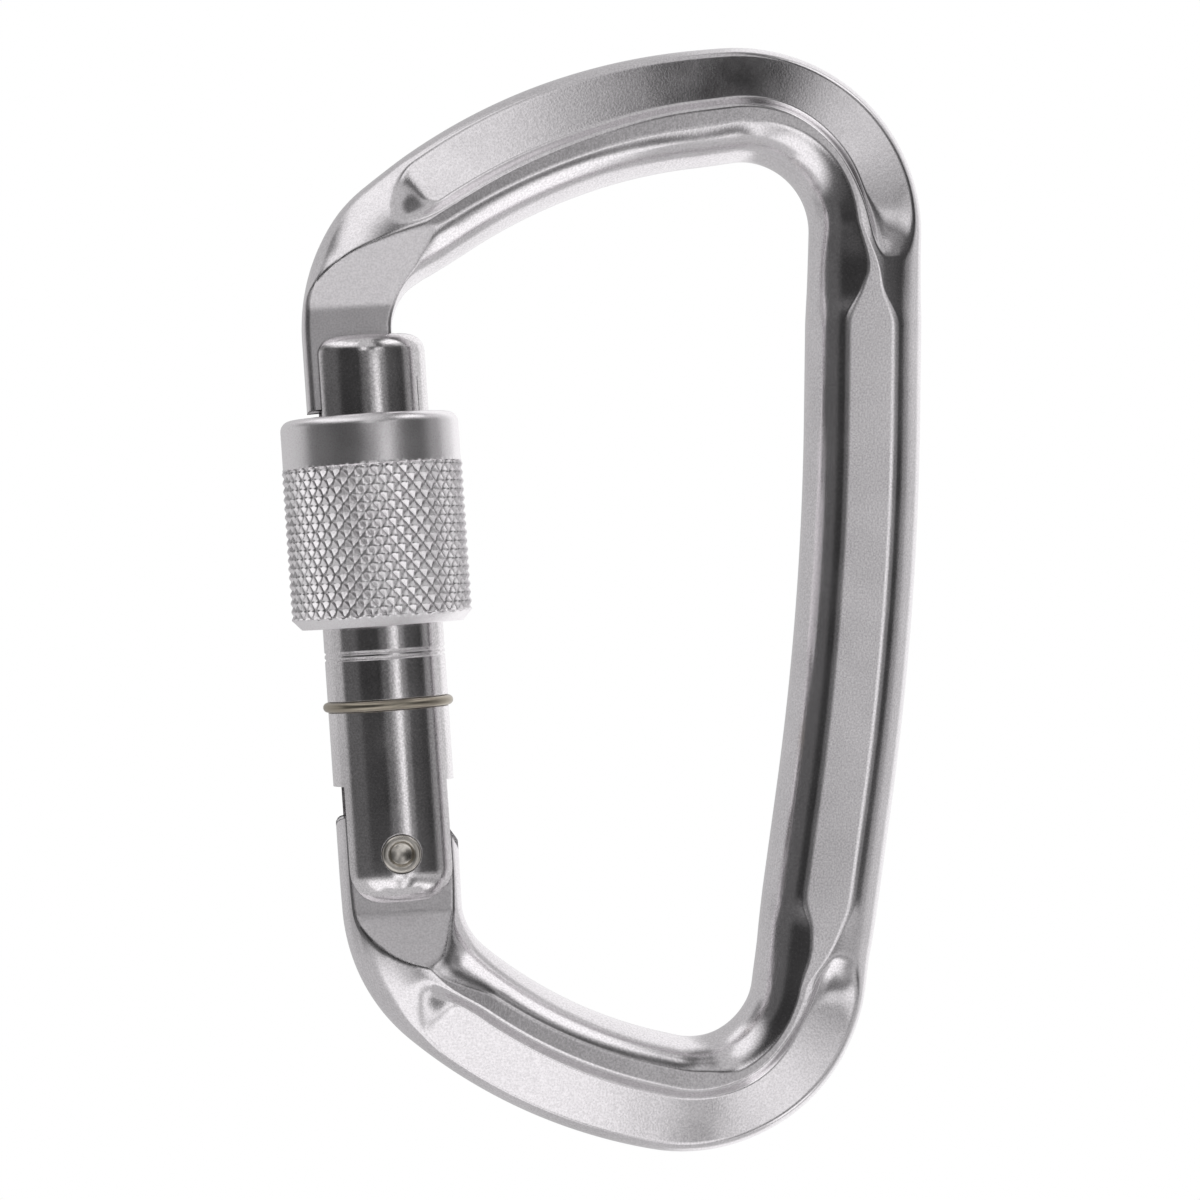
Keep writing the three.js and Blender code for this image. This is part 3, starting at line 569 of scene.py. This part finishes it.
def make_body():
    """The bar as one grid, stations along it and offsets across it, mirrored front to back."""
    line = stations()
    across = offsets_across(line)
    length = stretched(line, across)
    x, z = along_bar(length, across)
    up = (x - HINGE[0]) * GATE_AXIS[0] + (z - HINGE[2]) * GATE_AXIS[2]
    half, milled = half_thickness(length, across, up)
    half[:, 0] = half[:, -1] = 0.0
    front = np.stack([x, -half, z], -1)
    back = np.stack([x, half, z], -1)[:, -2:0:-1]
    loops = np.concatenate([front, back], 1)
    rows, around = loops.shape[:2]
    columns = across.shape[1]
    last_end = [face[::-1] for face in end_faces((rows - 1) * around, columns, around)]
    faces = [*loop_faces(rows, around).tolist(), *end_faces(0, columns, around), *last_end]
    body = piece("body_bar", loops.reshape(-1, 3), faces)
    both = np.concatenate([milled, milled[:, -2:0:-1]], 1).astype(float).ravel()
    body.data.attributes.new("milled", "FLOAT", "POINT").data.foreach_set("value", both)
    carve(body, "UNION", make_key())
    carve(body, "DIFFERENCE", pin("hinge_hole", RIVET_RADIUS + GAP, -CLEAR, CLEAR))
    return body


# ------------------------------------------------------------------ the gate and what it carries

def groove(distance, width):
    """A round-bottomed groove: 1 at its middle, 0 at its edges, by cos."""
    return np.where(np.abs(distance) < width / 2, np.cos(math.pi * distance / width), 0.0)


def gate_relief(angle, height, radius):
    """What is turned off the gate: two fine lines, and a thread of two starts that fades out at its ends."""
    marks = sum(groove(height - MARK_HEIGHT - side * MARK_SPACING / 2, MARK_WIDTH) for side in (-1, 1))
    turn = (height / THREAD_PITCH - angle * THREAD_STARTS / (2 * math.pi)) % 1.0
    flank = np.clip(1 - np.abs(turn - 0.5) * 2 * THREAD_SLOPE, 0, 1)
    fade = np.clip(np.minimum(height - THREAD_FOOT, THREAD_TOP - height) / THREAD_FADE, 0, 1)
    outside = radius > GATE_RADIUS - SKIN
    return outside * (marks * MARK_DEPTH + flank * fade * THREAD_DEPTH)


def make_gate():
    """The turned gate, cut by its nose slot, key pocket, fork, bore, rivet hole and countersinks."""
    seat, steepness = WIRE_RADIUS + RING_SEAT_GAP, GATE_FOOT_RISE / GATE_FOOT_EDGE
    root = GATE_RADIUS - seat
    foot_corner = corner(GATE_RADIUS - GATE_FOOT_EDGE, GATE_FOOT_EDGE, GATE_FOOT_EDGE, -90, 0, steps=14)
    ring_seat = corner(GATE_RADIUS, RING_HEIGHT, seat, -90, -270, steps=16)
    profile = [
        (0, -GATE_FOOT),
        *[(r, h * steepness - GATE_FOOT) for r, h in foot_corner],
        *[(max(r, root), h) for r, h in ring_seat],
        *[(GATE_RADIUS, MARK_HEIGHT + up) for up in np.arange(-MARK_REACH, MARK_REACH, MARK_STEP)],
        *[(GATE_RADIUS, h) for h in np.arange(THREAD_FOOT, THREAD_TOP, THREAD_STEP)],
        *corner(GATE_RADIUS - GATE_EDGE, GATE_TOP - GATE_EDGE, GATE_EDGE, 0, 90, steps=10),
        (0, GATE_TOP),
    ]
    gate = turned("gate_bar", fine(profile, GATE_STEP), GATE_SIDES, relief=gate_relief)
    slot_inner, slot_half, fork_half = NOSE_INNER + GAP, NOSE_HALF + GAP, TONGUE_HALF + GAP
    slot_floor = NOSE_TIP - SLOT_FLOOR_GAP
    pocket_top = NOSE_TIP + GAP + KEY_HEIGHT + KEY_ROOF_GAP
    bore = [(0, FORK_TOP - STOCK), (BORE_RADIUS, FORK_TOP - STOCK), (BORE_RADIUS, BORE_TOP - DRILL_CONE),
            (0, BORE_TOP)]
    sunk, sink_radius = GATE_RADIUS - RIVET_FLARE_HEIGHT, RIVET_FLARE + SINK_GAP
    for tool in (
        box("nose_slot", (-CLEAR, -slot_half, slot_floor), (slot_inner, slot_half, GATE_TOP + STOCK)),
        box("key_pocket", (0, -slot_half, slot_floor), (slot_inner + KEY_REACH, slot_half, pocket_top)),
        box("fork", (-CLEAR, -fork_half, -CLEAR), (CLEAR, fork_half, FORK_TOP)),
        turned("bore", bore),
        pin("rivet_hole", RIVET_RADIUS + RIVET_GAP, -CLEAR, CLEAR),
        pin("sink_front", sink_radius, -CLEAR, -sunk),
        pin("sink_back", sink_radius, sunk, CLEAR),
    ):
        carve(gate, "DIFFERENCE", tool)
    return gate


def knurl(angle, height, radius):
    """Diamond knurl: two crossing families of V grooves, the second shallower; the deeper one counts."""
    low, high = SLEEVE_FOOT + SLEEVE_FOOT_CHAMFER, SLEEVE_FOOT + SLEEVE_LENGTH - SLEEVE_LIP
    turn = angle * KNURL_ROUND / (2 * math.pi)
    rise = (height - low) / KNURL_RISE
    falling, rising = [1 - 2 * np.abs((turn + side * rise) % 1.0 - 0.5) for side in (1, -1)]
    depth = np.clip((np.maximum(falling, KNURL_SECOND * rising) - KNURL_CREST) / (1 - KNURL_CREST), 0, 1)
    inside = np.minimum(height - low, high - height) + KNURL_EARLY
    return (radius > SLEEVE_RADIUS - SKIN) * np.clip(inside / KNURL_FADE, 0, 1) * depth * KNURL_DEPTH


def make_sleeve():
    """The sleeve as one closed profile: knurl, plain lip with a rounded rim, and a bore with its lands."""
    foot, top = SLEEVE_FOOT, SLEEVE_FOOT + SLEEVE_LENGTH
    bore, wide = GATE_RADIUS + GAP, GATE_RADIUS + GAP + COUNTERBORE
    chamfer_top, knurl_top = foot + SLEEVE_FOOT_CHAMFER, top - SLEEVE_LIP
    rim, lip, edge = SLEEVE_RIM_ROUND, SLEEVE_RADIUS - SLEEVE_LIP_SINK, SLEEVE_FOOT_ROUND
    land, land_top = foot + THREAD_LAND_UP, foot + THREAD_LAND_UP + THREAD_LAND
    knurl_rings = np.arange(chamfer_top, knurl_top + KNURL_STEP / 2, KNURL_STEP)
    profile = [
        (wide, foot),
        *corner(SLEEVE_RADIUS - SLEEVE_FOOT_CHAMFER, foot + edge, edge, -90, -45, steps=3),
        *[(SLEEVE_RADIUS - down, chamfer_top - down) for down in CHAMFER_RINGS],
        *[(SLEEVE_RADIUS, h) for h in knurl_rings],
        *[(lip, knurl_top + up) for up in LIP_RINGS],
        *corner(lip - rim, top - rim, rim, 0, 90, steps=10),
        (NOSE_BORE + NOSE_BORE_EDGE, top),
        (NOSE_BORE, top - NOSE_BORE_EDGE),
        (NOSE_BORE, land_top + NOSE_BORE - bore),
        (bore, land_top),
        (bore, land),
        (wide, land - COUNTERBORE),
    ]
    return turned("sleeve_nut", profile, KNURL_ROUND * KNURL_SIDES, closed=True, relief=knurl)


def make_ring():
    """The wire ring: nearly a full turn about the gate's axis, with its gap at the back."""
    angle = math.pi / 2 + RING_GAP / 2 + np.linspace(0, 1, RING_POINTS) * (2 * math.pi - RING_GAP)
    path = on_gate(GATE_RADIUS * np.cos(angle), GATE_RADIUS * np.sin(angle), RING_HEIGHT)
    return wire("ring_wire", path, WIRE_RADIUS, RING_SIDES)


def make_rivet():
    """The rivet, turned about y: a shank, a flare rolled over at both ends, and a dimple in each."""
    end = GATE_RADIUS + RIVET_PROUD
    floor = end - RIVET_DIMPLE_DEPTH
    angle = circle(SIDES)
    half = [
        (RIVET_RADIUS, end - RIVET_FLARE_HEIGHT),
        *corner(RIVET_FLARE - RIVET_ROLL, end - RIVET_ROLL, RIVET_ROLL, 0, 90),
        *corner(RIVET_DIMPLE + RIVET_LIP, end - RIVET_LIP, RIVET_LIP, 90, 180, steps=6),
        *[(RIVET_DIMPLE - narrower, end - deep) for narrower, deep in DIMPLE_WALL],
    ]
    profile = np.array([(r, -y) for r, y in half[::-1]] + half)
    radius, y = profile[:, :1], np.broadcast_to(profile[:, 1:], (len(profile), SIDES))
    grid = on_gate(radius * np.cos(angle), y, radius * np.sin(angle))
    return capped("rivet_pin", grid, on_gate([0, 0], [-floor, floor], [0, 0]))


PLUNGER_FOOT = TONGUE_TOP + GAP


def make_plunger():
    """The plunger: a flat head on the cam and a stem inside the spring."""
    head, stem_top = PLUNGER_FOOT + PLUNGER_HEAD, PLUNGER_FOOT + PLUNGER_HEAD + PLUNGER_STEM_LENGTH
    round_off, edge = PLUNGER_ROUND, PLUNGER_EDGE
    profile = [
        (0, PLUNGER_FOOT),
        *corner(PLUNGER_RADIUS - round_off, PLUNGER_FOOT + round_off, round_off, -90, 0, steps=6),
        *corner(PLUNGER_RADIUS - edge, head - edge, edge, 0, 90, steps=4),
        (PLUNGER_STEM, head),
        *corner(PLUNGER_STEM - round_off, stem_top - round_off, round_off, 0, 90, steps=6),
        (0, stem_top),
    ]
    return turned("plunger_pin", profile)


def make_spring():
    """The gate spring: a coil about the gate's axis, between the plunger's head and the end of the bore."""
    radius = BORE_RADIUS - GAP - SPRING_WIRE
    foot = PLUNGER_FOOT + PLUNGER_HEAD + GAP + SPRING_WIRE
    top = BORE_TOP - DRILL_CONE - GAP - SPRING_WIRE
    t = np.linspace(0, 1, SPRING_TURNS * COIL_POINTS + 1)
    angle = 2 * math.pi * SPRING_TURNS * t
    path = on_gate(radius * np.cos(angle), radius * np.sin(angle), foot + (top - foot) * t)
    return wire("spring_coil", path, SPRING_WIRE, COIL_SIDES)


# ------------------------------------------------------------------ finishes

# Broad patches: how many to a metre, their share of the change of tone, and how much they change roughness.
PATCHES, PATCH_SHARE, PATCH_SMOOTHER, PATCH_DULLER = 160, 0.3, 0.03, 0.04
MILLED_TONE, MILLED_DULLNESS = 0.97, 0.16
# Lathe lines: waves to a metre across the gate's axis, and along it.
LATHE_SCALE = (40, 40, 5000)


def shader(tree, kind, inputs, **settings):
    """A shader node with its settings; each input gets a value, or is joined to another node's output."""
    made = tree.nodes.new("ShaderNode" + kind)
    for setting, value in settings.items():
        setattr(made, setting, value)
    for socket, value in inputs.items():
        if isinstance(value, bpy.types.NodeSocket):
            tree.links.new(value, made.inputs[socket])
        else:
            made.inputs[socket].default_value = value
    return made


def math_node(tree, operation, *values):
    """A sum, product or other result of numbers and other nodes' outputs."""
    return shader(tree, "Math", dict(enumerate(values)), operation=operation).outputs[0]


def noise(tree, source, scale, detail):
    """Noise over a vector, with so many waves to a metre."""
    return shader(tree, "TexNoise", {"Vector": source, "Scale": scale, "Detail": detail}).outputs["Fac"]


def between(tree, value, low, high):
    """Noise spread from low to high: its middle, 0.3 to 0.7, fills the range."""
    inputs = {"Value": value, "From Min": 0.3, "From Max": 0.7, "To Min": low, "To Max": high}
    return shader(tree, "MapRange", inputs).outputs["Result"]


def bump(tree, height, depth, normal):
    """Relief of that depth in millimetres, laid over a normal."""
    inputs = {"Strength": 1.0, "Distance": depth * MM, "Height": height, "Normal": normal}
    return shader(tree, "Bump", inputs).outputs["Normal"]


def milled_metal(tree, colour, dullness):
    """Colour and roughness that are darker and duller where the mesh's milled attribute is 1."""
    where = shader(tree, "Attribute", {}, attribute_name="milled").outputs["Fac"]
    inputs = {"Factor": where, "A": colour, "B": (MILLED_TONE, MILLED_TONE, MILLED_TONE, 1)}
    darker = shader(tree, "Mix", inputs, data_type="RGBA", blend_type="MULTIPLY")
    return darker.outputs["Result"], math_node(tree, "MULTIPLY_ADD", where, MILLED_DULLNESS, dullness)


def lathe_lines(tree, here, depth, normal):
    """Lines of that depth round the gate's axis: noise, squeezed along the axis."""
    tilt = math.atan2(-GATE_AXIS[0], GATE_AXIS[2])
    squeezed = shader(tree, "Mapping", {"Vector": here, "Rotation": (0, tilt, 0), "Scale": LATHE_SCALE})
    return bump(tree, noise(tree, squeezed.outputs["Vector"], 1.0, 3), depth, normal)


def metal(name, tint, roughness, grain=0.3, grain_depth=0.004, lathe=0.0, tone=0.06, edge=0.08,
          milled=False):
    """
    Bare metal. A fine grain, of the given size and depth in millimetres, roughens the surface, and broad
    patches vary its tone and roughness. Lathe lines and milled flats are added where they are asked for,
    and edges look rounded by the edge's radius in millimetres.
    """
    material = bpy.data.materials.new(name)
    material.use_nodes = True
    tree = material.node_tree
    here = shader(tree, "TexCoord", {}).outputs["Object"]
    grains = 1 / (grain * MM)
    patches, speckle = noise(tree, here, PATCHES, 3), noise(tree, here, grains, 1)
    broad, small = between(tree, patches, 0, PATCH_SHARE), between(tree, speckle, 0, 1 - PATCH_SHARE)
    share = math_node(tree, "ADD", broad, small)
    dark, light = ([c * k for c in tint] + [1] for k in (1 - tone, 1 + tone))
    mixed = shader(tree, "Mix", {"Factor": share, "A": dark, "B": light}, data_type="RGBA")
    colour = mixed.outputs["Result"]
    dullness = between(tree, patches, roughness - PATCH_SMOOTHER, roughness + PATCH_DULLER)
    if milled:
        colour, dullness = milled_metal(tree, colour, dullness)
    rounded = shader(tree, "Bevel", {"Radius": edge * MM}, samples=4).outputs["Normal"]
    normal = bump(tree, noise(tree, here, grains, 4), grain_depth, rounded)
    if lathe:
        normal = lathe_lines(tree, here, lathe, normal)
    surface = tree.nodes["Principled BSDF"]
    surface.inputs["Metallic"].default_value = 1.0
    for socket, value in (("Base Color", colour), ("Roughness", dullness), ("Normal", normal)):
        tree.links.new(value, surface.inputs[socket])
    return material


SATIN_BODY = metal("satin_body", (0.82, 0.80, 0.815), 0.16, grain=0.2, grain_depth=0.0045, tone=0.16,
                   milled=True)
BRIGHT_GATE = metal("bright_gate", (0.85, 0.83, 0.84), 0.16, grain=0.2, grain_depth=0.005, tone=0.2,
                    lathe=0.002, edge=0.16)
KNURLED_SLEEVE = metal("knurled_sleeve", (0.98, 0.955, 0.97), 0.30, grain=0.16, grain_depth=0.008, tone=0.12,
                       lathe=0.001, edge=0.03)
BRONZED_WIRE = metal("bronzed_wire", (0.42, 0.38, 0.31), 0.30)
RIVET_STEEL = metal("rivet_steel", (0.66, 0.63, 0.58), 0.26)
PLUNGER_STEEL = metal("plunger_steel", (0.62, 0.61, 0.59), 0.25, lathe=0.003)
SPRING_STEEL = metal("spring_steel", (0.58, 0.59, 0.61), 0.28, grain_depth=0.003)


# ------------------------------------------------------------------ pieces on their bodies

# Each piece: its maker, the body it rides on, the CAD node it stands for, its slot and its finish.
PIECES = [
    (make_body, "frame", "body", "body_satin", SATIN_BODY),
    (make_gate, "gate", "gate", "gate_turned", BRIGHT_GATE),
    (make_sleeve, "sleeve", "locking_sleeve", "sleeve_knurled", KNURLED_SLEEVE),
    (make_ring, "ring", "retaining_ring", "ring_steel", BRONZED_WIRE),
    (make_rivet, "gate", "hinge_rivet", "rivet_steel", RIVET_STEEL),
    (make_plunger, "plunger", "spring_plunger", "rivet_steel", PLUNGER_STEEL),
    (make_spring, "gate", "gate_spring", "spring_steel", SPRING_STEEL),
]
for make, body, node, slot, finish in PIECES:
    made = make()
    made.data.materials.clear()
    made.data.materials.append(finish)
    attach(made, body)
    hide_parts(node)


# ------------------------------------------------------------------ floor, light and camera

# In metres. The camera looks at the middle of the solids' box, moved a little left and down.
VIEW_CENTRE = (Vector(cad_low) + Vector(cad_high)) / 2 + Vector((-0.00027, 0.0, -0.0001))
VIEW_AZIMUTH, VIEW_DISTANCE, VIEW_ANGLE = math.radians(-6.5), 0.3885, math.radians(18)
FLOOR_BELOW, FLOOR_HALF, FLOOR_TONE, FLOOR_DULLNESS = 0.16, 0.12, 0.9, 0.8


def make_floor():
    """A plain pale floor under the object."""
    x, y, z = VIEW_CENTRE.x, VIEW_CENTRE.y, cad_low[2] - FLOOR_BELOW
    turns = ((-1, -1), (1, -1), (1, 1), (-1, 1))
    mesh = bpy.data.meshes.new("floor")
    mesh.from_pydata([(x + i * FLOOR_HALF, y + j * FLOOR_HALF, z) for i, j in turns], [], [(0, 1, 2, 3)])
    floor = bpy.data.objects.new("floor", mesh)
    bpy.context.scene.collection.objects.link(floor)
    pale = bpy.data.materials.new("pale_floor")
    pale.use_nodes = True
    surface = pale.node_tree.nodes["Principled BSDF"]
    surface.inputs["Base Color"].default_value = (FLOOR_TONE, FLOOR_TONE, FLOOR_TONE, 1)
    surface.inputs["Roughness"].default_value = FLOOR_DULLNESS
    mesh.materials.append(pale)
    floor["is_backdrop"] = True


# The tent round the object is pale cloth. SHADES are its darker parts, each as azimuth from and to,
# elevation from and to, in degrees, how soft its edge is, and the share of light it takes. LAMPS add light.
# Azimuth 0 is towards the front (-Y), and it grows towards +X.
CLOTH, CLOTH_TINT = 0.54, (1.0, 0.99, 1.0, 1)
SHADES = [
    (-94, -13, -23, 33, 10, 0.80),
    (-56, -13, -9, 29, 12, 0.66),
    (-18, 4, -13, 13, 9, 0.78),
    (-120, -86, 18, 43, 12, 0.60),
    (-122, -86, -22, -3, 12, 0.22),
    (0, 13, -12, 10, 8, 0.22),
    (0.5, 16.5, 13, 31, 9, 0.97),
    (5.5, 11.5, -32, -14, 5, 0.80),
    (22, 33, -12, 11, 6, 0.60),
    (18, 34, 26, 66, 8, 0.88),
    (28, 64, 63, 80, 8, 0.78),
    (60, 165, 71, 82, 8, 0.65),
    (33, 76, -14, 28, 10, 0.86),
    (60, 95, -14, 28, 30, 0.50),
    (38, 62, 28, 42, 8, 0.60),
    (18, 32, -62, -25, 8, 0.70),
    (25, 170, -80, -64, 8, 0.70),
    (28, 92, -37, -24, 8, 0.35),
]
LAMPS = [
    (-134, -26, 41, 64, 12, 0.48),
    (-74, -8, -80, -30, 10, 0.52),
    (4, 18, -74, -25, 6, 0.50),
    (44, 108, 41, 64, 10, 0.65),
    (34, 98, -64, -41, 10, 0.65),
    (13, 23, -9, 7, 5, 0.48),
    (-10, 2, 13, 27, 6, 0.55),
    (-14, 5, -28, -13, 6, 0.60),
    (12, 24, -25, -13, 6, 0.45),
    (18, 27, 12, 22, 6, 0.35),
    (90, 130, -24, 38, 10, 0.10),
    (128, 172, -62, 62, 12, 0.45),
]


def soft_step(tree, angle, at, soft):
    """Goes smoothly from 0 to 1 where an angle passes a value in degrees, over a soft edge."""
    start, stop = math.radians(at - soft / 2), math.radians(at + soft / 2)
    inputs = {"Value": angle, "From Min": start, "From Max": stop}
    return shader(tree, "MapRange", inputs, interpolation_type="SMOOTHSTEP").outputs["Result"]


def soft_band(tree, angle, low, high, soft):
    """1 between two angles in degrees and 0 outside them: one soft step less another."""
    return math_node(tree, "SUBTRACT", soft_step(tree, angle, low, soft), soft_step(tree, angle, high, soft))


def patch(tree, azimuth, elevation, left, right, low, high, soft, amount):
    """The amount inside a patch of the tent, and 0 outside it."""
    sideways = soft_band(tree, azimuth, left, right, soft)
    upright = soft_band(tree, elevation, low, high, soft)
    return math_node(tree, "MULTIPLY", math_node(tree, "MULTIPLY", sideways, upright), amount)


def make_tent():
    """World light from the tent's shades and lamps; what the camera sees directly is white."""
    world = bpy.data.worlds.new("tent")
    bpy.context.scene.world = world
    world.use_nodes = True
    tree = world.node_tree
    direction = shader(tree, "SeparateXYZ", {0: shader(tree, "TexCoord", {}).outputs["Generated"]})
    x, y, z = direction.outputs
    azimuth = math_node(tree, "ARCTAN2", x, math_node(tree, "MULTIPLY", y, -1.0))
    elevation = math_node(tree, "ARCSINE", z)
    light = CLOTH
    for darker in SHADES:
        kept = math_node(tree, "SUBTRACT", 1.0, patch(tree, azimuth, elevation, *darker))
        light = math_node(tree, "MULTIPLY", light, kept)
    for lamp in LAMPS:
        light = math_node(tree, "ADD", light, patch(tree, azimuth, elevation, *lamp))
    cloth = tree.nodes["Background"]
    cloth.inputs["Color"].default_value = CLOTH_TINT
    tree.links.new(light, cloth.inputs["Strength"])
    white = shader(tree, "Background", {"Color": (1, 1, 1, 1)})
    seen = shader(tree, "LightPath", {}).outputs["Is Camera Ray"]
    choose = shader(tree, "MixShader", {"Fac": seen, 1: cloth.outputs[0], 2: white.outputs[0]})
    tree.links.new(choose.outputs[0], tree.nodes["World Output"].inputs["Surface"])


def make_camera():
    """The camera at eye level with the middle of the object, a little to its left."""
    data = bpy.data.cameras.new("camera")
    camera = bpy.data.objects.new("camera", data)
    bpy.context.scene.collection.objects.link(camera)
    back = Vector((math.sin(VIEW_AZIMUTH), -math.cos(VIEW_AZIMUTH), 0.0))
    camera.location = VIEW_CENTRE + back * VIEW_DISTANCE
    camera.rotation_euler = (-back).to_track_quat("-Z", "Y").to_euler()
    data.lens = data.sensor_width / 2 / math.tan(VIEW_ANGLE / 2)
    data.clip_start = 0.01
    bpy.context.scene.camera = camera


make_floor()
make_tent()
make_camera()
bpy.context.scene.view_settings.view_transform = "Standard"
